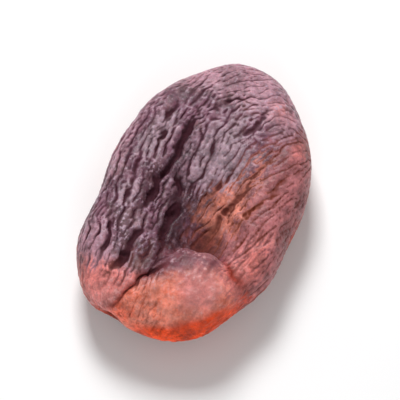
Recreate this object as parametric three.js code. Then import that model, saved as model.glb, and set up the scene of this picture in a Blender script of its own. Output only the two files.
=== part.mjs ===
// A pitted, sun-dried apricot: one flattened fruit with a thick rolled rim, a dimple where the
// stone was pressed out, a lip folded over the dimple, and skin that has shrunk into furrows.
// Millimetres. X runs from the stem end (-X) to the tip (+X), Z is up, and the fruit lies on Z = 0.

import * as THREE from "three";

// Driving dimensions
const MEAN_RADIUS = 17.5; // of the outline seen from above
const OUTLINE_WAVES = [
  // lobes round the outline, amplitude, and the direction of the first lobe in degrees
  { lobes: 2, amplitude: 3.7, phase: 2 },
  { lobes: 3, amplitude: 0.3, phase: 78 },
  { lobes: 4, amplitude: 0.31, phase: -34 },
  { lobes: 5, amplitude: 0.3, phase: 8 },
  { lobes: 6, amplitude: 0.13, phase: 108 },
  { lobes: 7, amplitude: 0.17, phase: -29 },
  { lobes: 9, amplitude: 0.12, phase: 40 },
];
const RIM_HEIGHT = 6.1; // height of the rim's outermost line above the surface
const TOP_RIM = 9.4; // half-thickness factor of the upper side at the rim
const TOP_MIDDLE = 4.2; // and in the middle of the face
const UNDER_RIM = 8.6; // the same two for the flatter underside
const UNDER_MIDDLE = 6.35;

// Forms on the two faces: place, reach along X and Y, and depth
const DIMPLE = { x: -5.6, y: -3.8, alongX: 5.2, alongY: 4.4, depth: 4.9 };
const VALLEY = { x: 0.5, y: 3.4, alongX: 9.5, alongY: 3.8, depth: 1.3 };
const UNDER_DIMPLE = { x: -8.5, y: 2.5, alongX: 5.0, alongY: 4.0, depth: 1.9 };

// The lip: its edge slopes over edgeInside within its radius and edgeOutside past it
const LIP = { x: -13.5, y: -5.6, radius: 6.3, rise: 0.9, edgeInside: 2.3, edgeOutside: 0.4 };
const LIP_SMOOTHNESS = 0.6; // share of the wrinkles' depth that the lip doesn't have

// The suture, a groove along the rim above its outermost line, between two directions in degrees
const SUTURE = { depth: 0.6, halfWidth: 0.8, height: 1.6, from: 20, to: 140, start: 25, end: 25 };
const SUTURE_INNER = 0.6; // shares of the outline radius between which the suture deepens
const SUTURE_OUTER = 0.9;
const STEM_END = { direction: 170, height: -0.7, depth: 1.1, radius: 1.8 };
const CREASE = { from: [-19.4, 4.6], to: [-11.8, -0.6], depth: 1.3, halfWidth: 0.9 };

// The deepest furrows of the upper face: both ends in plan, and the depth
const FURROWS = [
  { from: [9.4, 5.2], to: [-4.5, 5.8], depth: 1.15 },
  { from: [3.2, 3.4], to: [-11.2, 0.7], depth: 1.25 },
  { from: [1.2, 9.8], to: [-7.2, 8.0], depth: 0.85 },
  { from: [-6.6, 4.2], to: [-16.2, 5.7], depth: 0.85 },
  { from: [11.8, 8.4], to: [4.2, 8.3], depth: 0.65 },
  { from: [16.6, 2.5], to: [10.6, 2.9], depth: 0.55 },
  { from: [8.4, 0.6], to: [-0.6, 1.2], depth: 0.6 },
  { from: [6.9, -3.4], to: [-2.4, -0.9], depth: 0.4 },
  { from: [8.8, -7.4], to: [-3.6, -3.8], depth: 0.4 },
  { from: [7.2, -10.6], to: [-3.2, -6.7], depth: 0.4 },
  { from: [15.4, -3.9], to: [9.2, -1.6], depth: 0.35 },
  { from: [-8.6, 8.8], to: [-15.4, 8.0], depth: 0.5 },
];
const FURROW_HALF_WIDTH = 0.85;
const FURROWS_DEEPEST = 1.5; // furrows that run together sink no deeper than this
const FURROW_OVERRUN = 1.5; // a furrow starts this far before its end
const FURROW_TAPER = 2.5; // and is at its full depth this far past it
const FURROW_WAVES = [
  // how far a furrow sways to each side, and the radians of its sway per mm
  { sway: 0.35, pace: 0.9 },
  { sway: 0.18, pace: 2.1 },
];

// Fine wrinkles over the whole skin, running from the stem end to the tip
const WRINKLE_SPACING = 2.3;
const WRINKLE_DEPTH = 0.42;
const WRINKLE_BENDS = [
  // slow waves that push the wrinkles sideways: radians per mm along and across, and the push
  { along: 0.37, across: 0.23, push: 1.7 },
  { along: 0.71, across: -0.33, push: 1.1 },
  { along: 1.27, across: 0.19, push: 0.5 },
];
const PATCHES = { along: 0.52, across: 0.83, share: 0.38 }; // where the wrinkles are shallower
const UPPER_START = 2.0; // place along the endless pattern where each face takes its wrinkles
const UNDER_START = 61.0;
const UNDER_FAN = 0.1; // how far the wrinkles fan out, per mm along the fruit
const TOP_FAN = 0.3; // the same beside the dimple, between two places across the fruit
const TOP_FAN_FROM = 2;
const TOP_FAN_TO = -9;
const ROLL = 0.9; // how closely the wrinkles follow each other over the rounded rim
const ROLL_SIDE = 4; // distance from the long axis at which they turn over the rim
const FADE_OUT = 0.4; // the wrinkles run out over this share of the height or width at both ends
const PRESSED_FLAT = 0.7; // below this height they are pressed out by the surface

// Facets: rings from stem end to tip, and segments round each ring
const RINGS = 70;
const RING_SEGMENTS = 84;
const RING_SHIFT = 0.25; // these three move facets from both ends to the middle,
const SEGMENT_SHIFT = 0.4; // from the rim to the faces,
const UPWARD_SHIFT = 0.2; // and from the underside to the upper face

// Heights, as the Z of a direction from the fruit's middle, between which a form comes in
const FACES_MEET = [-0.3, 0.3];
const FURROWS_COME_IN = [0.05, 0.45];
const CREASE_COMES_IN = [-0.1, 0.3];

const radians = THREE.MathUtils.degToRad;
const bell = (value) => Math.exp(-value * value);

// A smooth step from 0 at the first value to 1 at the second, which may be the smaller of the two
function smooth(none, full, value) {
  const share = THREE.MathUtils.clamp((value - none) / (full - none), 0, 1);
  return share * share * (3 - 2 * share);
}

// Outline radius seen from above, in direction angle
function outlineRadius(angle) {
  const wave = ({ lobes, amplitude, phase }) => amplitude * Math.cos(lobes * angle - radians(phase));
  return OUTLINE_WAVES.reduce((radius, lobe) => radius + wave(lobe), MEAN_RADIUS);
}

// A round hollow with no edge, deepest at its centre
function hollow({ x, y, alongX, alongY, depth }, px, py) {
  return depth * bell(Math.hypot((px - x) / alongX, (py - y) / alongY));
}

// A furrow along a straight line in plan, tapered at both ends and swaying to both sides
function furrow({ from, to, depth, halfWidth = FURROW_HALF_WIDTH }, px, py) {
  const [dx, dy] = [to[0] - from[0], to[1] - from[1]];
  const length = Math.hypot(dx, dy);
  const along = ((px - from[0]) * dx + (py - from[1]) * dy) / length;
  let across = ((py - from[1]) * dx - (px - from[0]) * dy) / length;
  for (const { sway, pace } of FURROW_WAVES) across += sway * Math.sin(pace * (along + from[0]) + from[1]);
  const start = smooth(-FURROW_OVERRUN, FURROW_TAPER, along);
  const end = smooth(-FURROW_OVERRUN, FURROW_TAPER, length - along);
  return depth * start * end * bell(across / halfWidth);
}

// Wrinkles of the skin, 0 on their crests and up to 1 in their valleys: a wave across the run of
// the wrinkles, which the bends push to and fro so that they curve, fork and end
function wrinkle(along, across) {
  let phase = (2 * Math.PI * across) / WRINKLE_SPACING;
  for (const bend of WRINKLE_BENDS) phase += bend.push * Math.sin(bend.along * along + bend.across * across);
  const patch = PATCHES.share * Math.sin(PATCHES.along * along + PATCHES.across * across + Math.sin(along));
  const valley = 0.5 + 0.5 * Math.cos(phase);
  return (1 - PATCHES.share + patch) * valley * valley;
}

// The lip: 1 on its top, 0 past its folded edge
function onLip(x, y) {
  const reach = Math.hypot(x - LIP.x, y - LIP.y);
  return 1 - smooth(LIP.radius - LIP.edgeInside, LIP.radius + LIP.edgeOutside, reach);
}

// The fruit's form without its wrinkles, for a direction from its middle. A unit sphere is
// pressed flat: its equator becomes the outline, and its height is multiplied by a
// half-thickness that is large at the rim and small in the middle, as in a biconcave disc.
function form({ x: nx, y: ny, z: nz }) {
  const radius = outlineRadius(Math.atan2(ny, nx));
  const [x, y] = [radius * nx, radius * ny];
  const inward = 1 - nx * nx - ny * ny;
  let half;
  if (nz >= 0) {
    const lip = onLip(x, y);
    half = TOP_RIM - (TOP_RIM - TOP_MIDDLE) * inward - hollow(VALLEY, x, y);
    half += LIP.rise * lip - hollow(DIMPLE, x, y) * (1 - lip);
  } else {
    half = UNDER_RIM - (UNDER_RIM - UNDER_MIDDLE) * inward - hollow(UNDER_DIMPLE, x, y);
  }
  const normal = new THREE.Vector3(nx / radius, ny / radius, nz / half).normalize();
  return { x, y, z: RIM_HEIGHT + half * nz, radius, normal };
}

// Depth of the wrinkles, blended across the rim between the two faces
function wrinkleDepth({ x, y, z }, { y: ny, z: nz }) {
  const outward = y - ROLL * Math.abs(z - RIM_HEIGHT) * Math.tanh(y / ROLL_SIDE);
  const fanned = outward + TOP_FAN * smooth(TOP_FAN_FROM, TOP_FAN_TO, y) * x;
  const above = wrinkle(x + UPPER_START, fanned) * (1 - LIP_SMOOTHNESS * onLip(x, y));
  const below = wrinkle(x + UNDER_START, outward + UNDER_FAN * x);
  const blended = THREE.MathUtils.lerp(below, above, smooth(...FACES_MEET, nz));
  return WRINKLE_DEPTH * blended * smooth(0, FADE_OUT, Math.hypot(ny, nz)) * smooth(0, PRESSED_FLAT, z);
}

// Depth of the suture along the rim
function sutureDepth({ x, y, z, radius }) {
  const angle = Math.atan2(y, x);
  const start = smooth(radians(SUTURE.from), radians(SUTURE.from + SUTURE.start), angle);
  const end = smooth(radians(SUTURE.to), radians(SUTURE.to - SUTURE.end), angle);
  const outer = smooth(SUTURE_INNER, SUTURE_OUTER, Math.hypot(x, y) / radius);
  return SUTURE.depth * start * end * outer * bell((z - RIM_HEIGHT - SUTURE.height) / SUTURE.halfWidth);
}

// Depth of the pit where the stem was
function stemDepth({ x, y, z, radius }) {
  const angle = radians(STEM_END.direction);
  const [dx, dy] = [x - radius * Math.cos(angle), y - radius * Math.sin(angle)];
  const distance = Math.hypot(dx, dy, z - RIM_HEIGHT - STEM_END.height);
  return STEM_END.depth * bell(distance / STEM_END.radius);
}

// The point of the skin in a direction: the form, sunk along its normal by all the relief, and
// flattened where the fruit lies on the surface
function skin(direction) {
  const point = form(direction);
  const { x, y, z, normal } = point;
  const furrows = FURROWS.reduce((sum, line) => sum + furrow(line, x, y), 0) * (1 - onLip(x, y));
  let depth = wrinkleDepth(point, direction) + sutureDepth(point) + stemDepth(point);
  depth += FURROWS_DEEPEST * Math.tanh(furrows / FURROWS_DEEPEST) * smooth(...FURROWS_COME_IN, direction.z);
  depth += furrow(CREASE, x, y) * smooth(...CREASE_COMES_IN, direction.z);
  return new THREE.Vector3(x - normal.x * depth, y - normal.y * depth, Math.max(z - normal.z * depth, 0));
}

// The point of the skin on a ring, counted from the stem end, and a segment, counted from +Y upwards
function place(ring, segment) {
  const along = (Math.PI * ring) / RINGS;
  const turn = (2 * Math.PI * segment) / RING_SEGMENTS;
  const alongMoved = along + (RING_SHIFT / 2) * Math.sin(2 * along);
  const turnMoved = turn + (SEGMENT_SHIFT / 2) * Math.sin(2 * turn) + UPWARD_SHIFT * Math.cos(turn);
  const width = Math.sin(alongMoved);
  const direction = [-Math.cos(alongMoved), width * Math.cos(turnMoved), width * Math.sin(turnMoved)];
  return skin(new THREE.Vector3(...direction));
}

// A closed skin: one corner at the stem end, rings of corners, and one corner at the tip. Each
// four-cornered facet is split along the diagonal that lies closer to the skin at its middle,
// so the edges follow the furrows and the crease.
function fruitGeometry() {
  const corners = [place(0, 0)];
  for (let ring = 1; ring < RINGS; ring++) {
    for (let segment = 0; segment < RING_SEGMENTS; segment++) corners.push(place(ring, segment));
  }
  corners.push(place(RINGS, 0));

  const cornerAt = (ring, segment) => {
    if (ring === 0) return 0;
    if (ring === RINGS) return corners.length - 1;
    return 1 + (ring - 1) * RING_SEGMENTS + (segment % RING_SEGMENTS);
  };
  const gap = (from, to, middle) => corners[from].clone().lerp(corners[to], 0.5).distanceTo(middle);
  const triangles = [];
  for (let ring = 0; ring < RINGS; ring++) {
    for (let segment = 0; segment < RING_SEGMENTS; segment++) {
      const [a, b] = [cornerAt(ring, segment), cornerAt(ring, segment + 1)];
      const [c, d] = [cornerAt(ring + 1, segment + 1), cornerAt(ring + 1, segment)];
      const middle = place(ring + 0.5, segment + 0.5);
      if (ring === 0) triangles.push(a, c, d);
      else if (ring === RINGS - 1) triangles.push(a, b, c);
      else if (gap(a, c, middle) < gap(b, d, middle)) triangles.push(a, b, c, a, c, d);
      else triangles.push(a, b, d, b, c, d);
    }
  }

  // The origin is the middle of the fruit's box, on the surface it lies on.
  const geometry = new THREE.BufferGeometry().setFromPoints(corners);
  geometry.setIndex(triangles);
  geometry.computeBoundingBox();
  const middle = geometry.boundingBox.getCenter(new THREE.Vector3());
  geometry.translate(-middle.x, -middle.y, -geometry.boundingBox.min.z);
  geometry.computeVertexNormals();
  return geometry;
}

const driedFlesh = new THREE.MeshStandardMaterial({ color: 0x7a3426, roughness: 0.5, metalness: 0 });

const apricot = new THREE.Mesh(fruitGeometry(), driedFlesh);
apricot.name = "apricot";

const part = new THREE.Group();
part.add(apricot);

export default part;
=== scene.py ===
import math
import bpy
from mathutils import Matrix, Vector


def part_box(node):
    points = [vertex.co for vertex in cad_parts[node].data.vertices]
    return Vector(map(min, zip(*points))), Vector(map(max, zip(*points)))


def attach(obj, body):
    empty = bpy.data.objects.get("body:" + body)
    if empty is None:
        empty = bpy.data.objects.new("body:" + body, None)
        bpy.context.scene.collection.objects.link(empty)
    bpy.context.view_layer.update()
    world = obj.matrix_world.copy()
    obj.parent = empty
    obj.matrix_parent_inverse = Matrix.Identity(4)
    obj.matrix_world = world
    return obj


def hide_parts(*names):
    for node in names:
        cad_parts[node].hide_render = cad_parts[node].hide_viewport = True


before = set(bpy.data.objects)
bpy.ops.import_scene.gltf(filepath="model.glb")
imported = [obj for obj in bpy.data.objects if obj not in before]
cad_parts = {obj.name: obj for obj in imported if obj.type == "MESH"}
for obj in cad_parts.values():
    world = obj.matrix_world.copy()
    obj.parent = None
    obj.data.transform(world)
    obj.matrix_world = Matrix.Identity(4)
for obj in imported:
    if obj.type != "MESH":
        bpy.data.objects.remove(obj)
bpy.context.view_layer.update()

# A pitted, sun-dried apricot in a plain studio. The skin is one surface, worked out with numpy
# over the CAD solid's own form, with finer wrinkles and a painted, slightly translucent finish.
# Lengths are in metres. X runs from the stem end to the tip, Z is up, and the floor is Z = 0.

from types import SimpleNamespace

import bpy
import numpy as np
from bpy.props import FloatProperty, FloatVectorProperty, IntProperty, PointerProperty
from mathutils import Vector

bl_info = {
    "name": "Dried apricot",
    "version": (1, 0, 0),
    "blender": (4, 5, 0),
    "location": "3D View > Sidebar > Apricot",
    "description": "Builds a sun-dried apricot with shrunken skin, and the studio it lies in",
    "category": "Add Mesh",
}

MM = 0.001
NODE = "apricot"
CAD_LOW, CAD_HIGH = (np.array(corner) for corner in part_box(NODE))

# Forms of the fruit. They are the CAD solid's own, apart from narrower, broken furrows, a slightly
# moved crease and the relief that this finer skin adds.
OUTLINE_WAVES = [
    # Lobes round the outline, amplitude, and the direction of the first lobe in degrees
    (2, 3.7 * MM, 2),
    (3, 0.3 * MM, 78),
    (4, 0.31 * MM, -34),
    (5, 0.3 * MM, 8),
    (6, 0.13 * MM, 108),
    (7, 0.17 * MM, -29),
    (9, 0.12 * MM, 40),
]

# Round hollows: x, y, reach along X, reach along Y, and depth
DIMPLE = np.array([-5.6, -3.8, 5.2, 4.4, 4.9]) * MM
VALLEY = np.array([0.5, 3.4, 9.5, 3.8, 1.3]) * MM
UNDER_DIMPLE = np.array([-8.5, 2.5, 5.0, 4.0, 1.9]) * MM

LIP_X, LIP_Y, LIP_RADIUS, LIP_RISE = np.array([-13.5, -5.6, 6.3, 0.9]) * MM
LIP_EDGE_INSIDE, LIP_EDGE_OUTSIDE = 2.3 * MM, 0.4 * MM
LIP_WOBBLE, LIP_WOBBLE_SIZE, LIP_WOBBLE_SEED = 0.35 * MM, 3.5 * MM, 31

SUTURE_DEPTH, SUTURE_HALF_WIDTH, SUTURE_HEIGHT = 0.6 * MM, 0.8 * MM, 1.6 * MM
SUTURE_ANGLES = (20, 45, 115, 140)  # degrees: where it starts, is full, starts to end, ends
SUTURE_SHARES = (0.6, 0.9)  # of the outline radius, between which it deepens
STEM_ANGLE, STEM_HEIGHT, STEM_DEPTH, STEM_RADIUS = 170, -0.7 * MM, 1.1 * MM, 1.8 * MM

# Furrows: x and y of one end, x and y of the other, and depth
FURROWS = np.array([
    [9.4, 5.2, -4.5, 5.8, 1.15],
    [3.2, 3.4, -11.2, 0.7, 1.25],
    [1.2, 9.8, -7.2, 8.0, 0.35],
    [-6.6, 4.2, -16.2, 5.7, 0.85],
    [11.8, 8.4, 4.2, 8.3, 0.65],
    [16.6, 2.5, 10.6, 2.9, 0.55],
    [8.4, 0.6, -0.6, 1.2, 0.6],
    [6.9, -3.4, -2.4, -0.9, 0.25],
    [8.8, -7.4, -3.6, -3.8, 0.4],
    [7.2, -10.6, -3.2, -6.7, 0.4],
    [15.4, -3.9, 9.2, -1.6, 0.35],
    [-8.6, 8.8, -15.4, 8.0, 0.5],
]) * MM
FURROW_HALF_WIDTH = 0.5 * MM  # narrower than the solid's, whose facets are too large for it
FURROWS_DEEPEST = 1.5 * MM
FURROW_OVERRUN, FURROW_TAPER = 1.5 * MM, 2.5 * MM
FURROW_WAVES = [(0.28 * MM, 0.8 / MM), (0.12 * MM, 2.1 / MM)]  # sway, and radians per metre

# The crease beside the lip and the reddish seam at the lip's right end: both ends, depth, and
# half-width
CREASE = np.array([-19.7, 3.7, -11.8, -0.6, 0.8, 0.42]) * MM
SEAM = np.array([-7.6, -7.4, -9.8, -12.0, 0.15, 0.7]) * MM

# How far the wrinkles turn beside the dimple and towards the tip
FAN_TURN, TIP_TURN = math.radians(27), math.radians(50)

# The parts of the fruit that differ, as the values from which and to which a smooth step runs.
# Upward values are the height on the unit sphere that the disc is pressed from.
UPPER_FACE, LIP_UPWARD = (0, 0.3), (0, 0.25)
FURROW_UPWARD, CREASE_UPWARD = (0.05, 0.45), (-0.1, 0.3)
RIM_UPWARD = (0.66, 0.32)
DIMPLE_SIDE = (2.5 * MM, -4 * MM)  # along Y
BREAKS_TIP = (5 * MM, 11 * MM)  # along X
FAN_X, FAN_Y = (-14 * MM, -4 * MM), (2 * MM, -9 * MM)
TIP_TURN_X, TIP_TURN_Y = (9 * MM, 16 * MM), (9 * MM, 1 * MM)
TURNED_HEIGHT = (3 * MM, 8 * MM)
FOLD_LEAN_X, FOLD_LEAN_SLANT = (-13 * MM, -9 * MM), 0.2
LIP_SKIN_REACH = (0.5 * LIP_RADIUS, 1.15 * LIP_RADIUS)
# The dimple's floor, and where the painted shade at its bottom comes in
PIT_FLOOR, PIT_SHADE = (0.35, 0.9), (0.5, 1.0)  # of the dimple's depth
# Where the painted shade of the furrows comes in, along Y
FURROW_SHADE_Y = (-5 * MM, 1 * MM)
FLAT_SPOT_HEIGHT = (0, 0.7 * MM)  # the relief fades out towards the resting spot
END_WIDTH = (0, 0.35)  # and towards both ends of the grid, as a share of the sphere's radius

# Shares of the relief that are lost, or gained, there
FURROWS_LOST_AT_TIP, FURROWS_LEFT_BY_DIMPLE = 0.5, 0.8
RIM_LOST, LIP_LOST = 0.5, 0.92
PIT_WRINKLES_LOST, PIT_CRINKLES_LOST, PIT_PEBBLES_LOST = 0.5, 0.7, 0.6
FURROW_WRINKLES_LOST = 0.6
FINER_GAIN = 0.6  # deeper wrinkles on the dimple's side

# Random patches of the relief: mean, swing, size, and the lowest and highest share
FURROW_PATCHES = (0.75, 0.65, 3.0 * MM, 0.2, 1.25)
WRINKLE_PATCHES = (0.7, 0.6, 3.2 * MM, 0.05, 1.5)
CRINKLE_PATCHES = (0.75, 0.5, 3.5 * MM, 0.1, 1.4)
EVEN_PATCH, EVEN_PATCH_SHARE = 0.95, 0.35  # on the dimple's side the patches differ less

# Relief with no direction: depth in metres and size
SWELLS = (0.2 * MM, 8 * MM)
LIP_LUMPS, LIP_LUMP_WAVES = (0.10 * MM, 2.2 * MM), 30
PEBBLE_SIZE, PEBBLE_WAVES = 0.95 * MM, 80
PEBBLE_DEPTH, FINER_PEBBLES_LOST, LIP_PEBBLES_GAINED = 0.04 * MM, 0.015 * MM, 0.015 * MM

# Sideways sway and its size: of the lip's smooth skin, and of the wrinkles, coarse and fine
LIP_SKIN_SWAY = (0.9 * MM, 4.5 * MM)
COARSE_SWAY, FINE_SWAY = (0.32 * MM, 5 * MM), (0.12 * MM, 1.8 * MM)
FINER_SWAY_LOST = 0.55

# The wrinkles and crinkles: how much longer than wide their patches of waves are, how far they
# turn, and what share of them are slits or ridges. FINER values are added on the dimple's side.
WRINKLE_STRETCH, FINER_STRETCH = 2.2, 1.8
WRINKLE_SPREAD, FINER_SPREAD = 0.14, -0.07
WRINKLE_SLITS, FINER_SLITS, FINER_RIDGES = 0.7, -0.4, 0.35
WRINKLE_SLIT_WIDTH, FINER_SPACING = 0.6, -0.08
CRINKLE_STRETCH, CRINKLE_SPREAD, CRINKLE_SLITS, CRINKLE_SLIT_WIDTH = 2.2, 0.32, 0.3, 1.0
LIP_CRINKLE_SPACING = 0.35
CRINKLES_LEAST, CRINKLES_WITH_WRINKLES, LIP_CRINKLES = 0.2, 0.8, 0.15

# What is added to the seed, so that each random field has its own
SEED_STEPS = {
    "swells": 1, "wrinkles": 2, "wrinkle_patches": 3, "crinkles": 4, "crinkle_patches": 5,
    "pebbles": 6, "furrow_patches": 7, "lip_lumps": 8, "coarse_sway": 10, "fine_sway": 20,
    "lip_skin": 30,
}

# How sunken the skin is: a mask's name, passes of the blur, and the depth that counts as full
CAVITIES = [("fine_cavity", 6, 0.05 * MM), ("broad_cavity", 60, 0.30 * MM)]

# Stretches of calm skin in millimetres: x, y, reach along X, reach along Y, and the share of
# the relief that is lost
CALM_SPOTS = [
    (5.8, 0.2, 5.5, 3.0, 0.6), (8.0, 12.0, 7.0, 3.2, 0.45), (17.5, 0.5, 6.5, 10.0, 0.3),
    (-18.5, 6.5, 4.0, 4.0, 0.4),
]

# Patches of colour, in the same way: x, y, reach along X, reach along Y, and share
PATCHES = {
    "brown": [(-1.3, -4.0, 4.4, 3.2, 1.0), (4.5, -6.2, 5.0, 2.4, 0.6)],
    "umber": [
        (2.4, -6.2, 4.5, 2.0, 0.55), (-12.6, 1.8, 4.2, 2.6, 0.9), (15.0, -1.5, 3.0, 2.0, 0.4),
        (-15.2, 6.2, 2.2, 1.4, 0.8), (12.5, -9.6, 3.0, 1.4, 0.4),
    ],
    "ash": [
        (7.0, -0.2, 5.5, 3.6, 0.9), (3.4, 9.3, 2.8, 1.6, 0.8), (-4.6, 8.6, 2.4, 1.4, 0.7),
        (7.3, 8.2, 2.2, 1.3, 0.8), (4.4, -3.2, 2.4, 1.2, 0.6),
    ],
    "coral": [
        (-6.0, -11.3, 4.5, 1.8, 0.8), (12.8, -9.9, 3.4, 1.8, 0.4), (-9.5, -9.5, 3.4, 2.2, 0.6),
    ],
    # Painted shade along the long valley
    "deep": [(4.0, 5.0, 8.0, 1.8, 0.9), (-2.0, 2.0, 6.5, 1.8, 1.0), (-8.0, 0.2, 4.6, 2.2, 1.0)],
    # Pale lavender skin, with painted highlights along the rims
    "pale_and_rim_highlight": [(-15.0, 9.2, 3.6, 2.2, 0.9), (14.0, -7.2, 3.4, 2.2, 0.7)],
    # Painted shadow beside the crease, left of the lip's top
    "shade": [(-11.4, 0.8, 3.6, 2.2, 1.0)],
    # The lip's pink middle, partly painted light on its shaded right part, and painted highlights on
    # the rim
    "blush_and_highlight": [
        (-12.8, -6.6, 4.0, 3.4, 1.0), (-19.0, 5.4, 2.6, 2.8, 0.7), (16.2, -5.4, 2.4, 2.6, 0.45),
    ],
    "orange": [(-19.9, 2.2, 1.6, 2.4, 0.5)],
}

# Large areas of colour: the values from which and to which they come in, and how far their edges
# slant. Slopes are the upward part of the disc's normal.
UPPER_SLOPE = (-0.3, 0.35)
PLUM_SHIFT, PLUM_SLANT, PLUM_Y, PLUM_SLOPE = 1.0 * MM, 0.35, (-7.5 * MM, 3.5 * MM), (-0.5, 0.2)
STEM_SLANT, STEM_X, STEM_SLOPE = 0.35, (-12.5 * MM, -19.0 * MM), (-0.6, 0.0)
TIP_SLANT, TIP_X, TIP_Y = 0.25, (12 * MM, 18 * MM), (-9.5 * MM, -6.8 * MM)
LEFT_RIM_SHARE, LEFT_RIM_UPWARD, LEFT_RIM_Y = 0.55, (0.68, 0.46), (-3 * MM, 6 * MM)
LEFT_RIM_SLANT, LEFT_RIM_WIDER, LEFT_RIM_WIDER_X = 0.35, 0.1, (8 * MM, -8 * MM)
LEFT_RIM_GAP, LEFT_RIM_GAP_X, LEFT_RIM_GAP_REACH = 0.8, -6 * MM, 5 * MM
LEFT_RIM_TIP_LOST, LEFT_RIM_TIP_X = 0.4, (0, 8 * MM)
PEACH_X, PEACH_Y, PEACH_SQUASH, PEACH_REACH = -16.2 * MM, -3.8 * MM, 0.8, (5.5 * MM, 8.5 * MM)
PEACH_CREASE, PEACH_SLOPE = (0.4 * MM, -0.6 * MM), (-0.5, 0.1)
FOLD_TOWARDS, FOLD_START, FOLD_REACH = (0.85, 0.53), (-0.5 * MM, 4.5 * MM), (8.0 * MM, 6.4 * MM)
FOLD_SHARE, FOLD_Y = 0.9, (-9.5 * MM, -6.5 * MM)
ORANGE_SLANT, ORANGE_X, ORANGE_Y = 0.2, (-12.5 * MM, -17 * MM), (3.5 * MM, -4.5 * MM)
ORANGE_SLOPE, ORANGE_HIGHER, ORANGE_HIGHER_Y = (0.76, 0.28), 0.10, (-4 * MM, -8 * MM)
FLANK_SLOPE, FLANK_LOWER, FLANK_LOWER_Y = (0.4, -0.6), 0.25, (-6 * MM, 4 * MM)
FLANK_WANDER = [(0.3, 7 * MM, 41), (0.15, 2.5 * MM, 42)]  # share, size and seed
UNDER_SLOPE = (-0.5, -0.95)
CREASE_RED = 0.7  # how much of the seam's red the crease has

# Facets of the visible skin, kept under 200,000 triangles
RINGS, SEGMENTS = 330, 300
RING_SHIFT, SEGMENT_SHIFT, UPWARD_SHIFT = 0.25, 0.4, 0.15

# Patches of waves: wavelengths from the middle to the edge, and how many lie over each point
WAVES_IN_REACH, PATCHES_OVERLAP = 1.15, 9
PATCH_CUTOFF, PATCH_WINDOW, PATCH_MARGIN = 6, 2.4, 1.5 * MM  # where a patch of waves ends
SURE_STRENGTH = 0.9  # of the median strength, from which a phase counts as sure

# Soft noise: slowest and fastest wave, and the standard deviations that its value 1 stands for
NOISE_PACES, NOISE_REACH = (0.7, 1.6), 1.6
TINY = 1e-12

# Painted shade in the valleys: where it is lighter, as the attribute, the values between which
# that comes in, and the share of the shade that is left
VALLEY_SHADE_LEFT = [
    ("lip", 0.0, 1.0, 0.2), ("blush_and_highlight", 0.0, 0.7, 0.45), ("suture", 0.0, 0.8, 0.35),
    ("coral", 0.2, 0.9, 0.5),
]

# Soft lights: where they stand from the fruit, how far off, and the side of the square
KEY_PLACE = ((0.70, 0.46, 0.95), 0.42, 0.14)
FILL_PLACE = ((-0.9, -0.4, 0.45), 0.5, 0.3)
FLOOR_HALF = 1.5


def a_length(name, description, default, low, high):
    """A length that the user can change, given in millimetres."""
    return FloatProperty(
        name=name, description=description, default=default * MM, min=low * MM, max=high * MM,
        unit="LENGTH", precision=5)


def a_colour(name, description, default):
    """A colour that the user can change."""
    return FloatVectorProperty(
        name=name, description=description, default=default, min=0, max=1, subtype="COLOR")


def a_strength(name, description, default, high):
    """A light's strength that the user can change."""
    return FloatProperty(name=name, description=description, default=default, min=0, max=high)


class FruitForm(bpy.types.PropertyGroup):
    """The fruit's main sizes."""

    mean_radius: a_length(
        "Mean radius", "Mean radius of the outline seen from above", 17.5, 5, 40)
    rim_height: a_length("Rim height", "Height of the rim's outermost line", 6.1, 2, 15)
    top_rim: a_length(
        "Upper rim", "Half-thickness factor of the upper side at the rim", 9.4, 2, 20)
    top_middle: a_length(
        "Upper middle", "Half-thickness of the upper side in its middle", 4.2, 1, 20)
    under_rim: a_length(
        "Under rim", "Half-thickness factor of the underside at the rim", 8.6, 2, 20)
    under_middle: a_length(
        "Under middle", "Half-thickness of the underside in its middle", 6.35, 1, 20)


class SkinRelief(bpy.types.PropertyGroup):
    """How far the skin has shrunk."""

    seed: IntProperty(
        name="Seed", description="Draws another set of wrinkles", default=7, min=0)
    wrinkle_spacing: a_length(
        "Wrinkle spacing", "Distance from one wrinkle to the next", 1.3, 0.8, 6)
    wrinkle_depth: a_length("Wrinkle depth", "Depth of the wrinkles", 0.42, 0, 2)
    crinkle_spacing: a_length(
        "Crinkle spacing", "Distance between the finer crinkles", 0.68, 0.4, 3)
    crinkle_depth: a_length("Crinkle depth", "Depth of the finer crinkles", 0.13, 0, 1)
    fold_overhang: a_length(
        "Lip overhang", "How far the lip's edge leans over the dimple", 0.7, 0, 2)


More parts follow.
